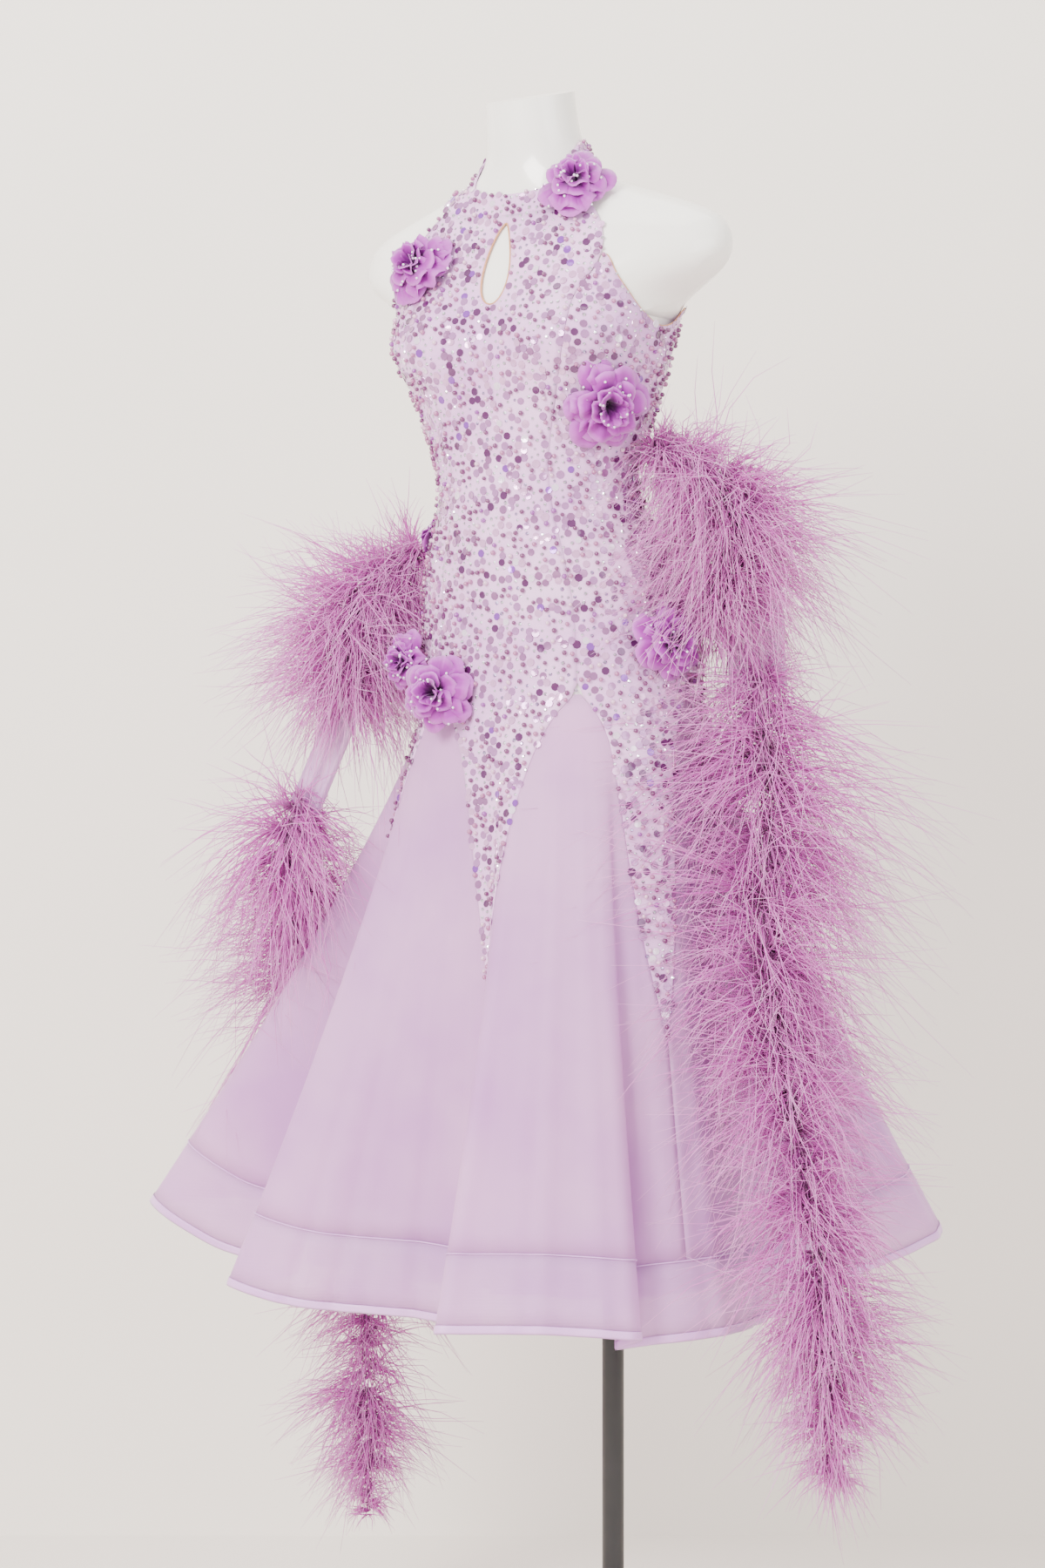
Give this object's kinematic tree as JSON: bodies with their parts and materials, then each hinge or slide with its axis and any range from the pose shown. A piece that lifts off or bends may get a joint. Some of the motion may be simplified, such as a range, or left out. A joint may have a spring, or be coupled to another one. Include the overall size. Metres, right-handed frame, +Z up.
{
  "type": "ballroom dance dress on a limbless dress form",
  "caption": "Halter ballroom dress with godet skirt, horsehair hem, fabric roses and feather-edged floats, worn by a plain torso form on a pole stand.",
  "frame": {"origin": "on the floor, on the axis of the stand's pole", "axes": "+Z up, the dress faces -Y, its left side is +X"},
  "size_m": [0.9396, 0.6521, 1.8067],
  "materials": {
    "form_gloss": "white lacquered fibreglass, high gloss",
    "black_steel": "satin black powder coat",
    "sheath_cloth": "stretch velour with sequins, pearls and stones",
    "sheer_cloth": "sheer chiffon and organza",
    "braid": "stiff sheer horsehair braid",
    "ribbon": "satin ribbon",
    "rose_cloth": "satin and organza petals",
    "feather": "dyed ostrich feather",
    "hook_steel": "bright nickel"
  },
  "bodies": {
    "root": {"stand_base": "black_steel", "stand_boss": "black_steel", "stand_pole": "black_steel", "stand_socket": "black_steel", "form_body": "form_gloss", "front_panel": "sheath_cloth", "side_front_panel_left": "sheath_cloth", "side_back_panel_left": "sheath_cloth", "back_panel": "sheath_cloth", "side_back_panel_right": "sheath_cloth", "side_front_panel_right": "sheath_cloth", "halter_collar": "sheath_cloth", "collar_hook": "hook_steel", "godet_front_left": "sheer_cloth", "godet_side_left": "sheer_cloth", "godet_back_left": "sheer_cloth", "godet_back_right": "sheer_cloth", "godet_side_right": "sheer_cloth", "godet_front_right": "sheer_cloth", "hem_braid_front_left": "braid", "hem_binding_front_left": "ribbon", "hem_braid_side_left": "braid", "hem_binding_side_left": "ribbon", "hem_braid_back_left": "braid", "hem_binding_back_left": "ribbon", "hem_braid_back_right": "braid", "hem_binding_back_right": "ribbon", "hem_braid_side_right": "braid", "hem_binding_side_right": "ribbon", "hem_braid_front_right": "braid", "hem_binding_front_right": "ribbon", "underskirt_back_right": "sheer_cloth", "underskirt_braid_back_right": "braid", "underskirt_front_right": "sheer_cloth", "underskirt_braid_front_right": "braid", "underskirt_front_left": "sheer_cloth", "underskirt_braid_front_left": "braid", "underskirt_back_left": "sheer_cloth", "underskirt_braid_back_left": "braid", "rose_collar": "rose_cloth", "rose_chest": "rose_cloth", "rose_ribs": "rose_cloth", "rose_hip_right_large": "rose_cloth", "rose_hip_right_small": "rose_cloth", "rose_hip_left": "rose_cloth", "rose_waist_right": "rose_cloth", "rose_hip_back": "rose_cloth", "float_left": "sheer_cloth", "float_right": "sheer_cloth", "boa_left_top": "feather", "boa_left_fall": "feather", "boa_right_top": "feather", "boa_right_fall": "feather"}
  },
  "joints": []
}
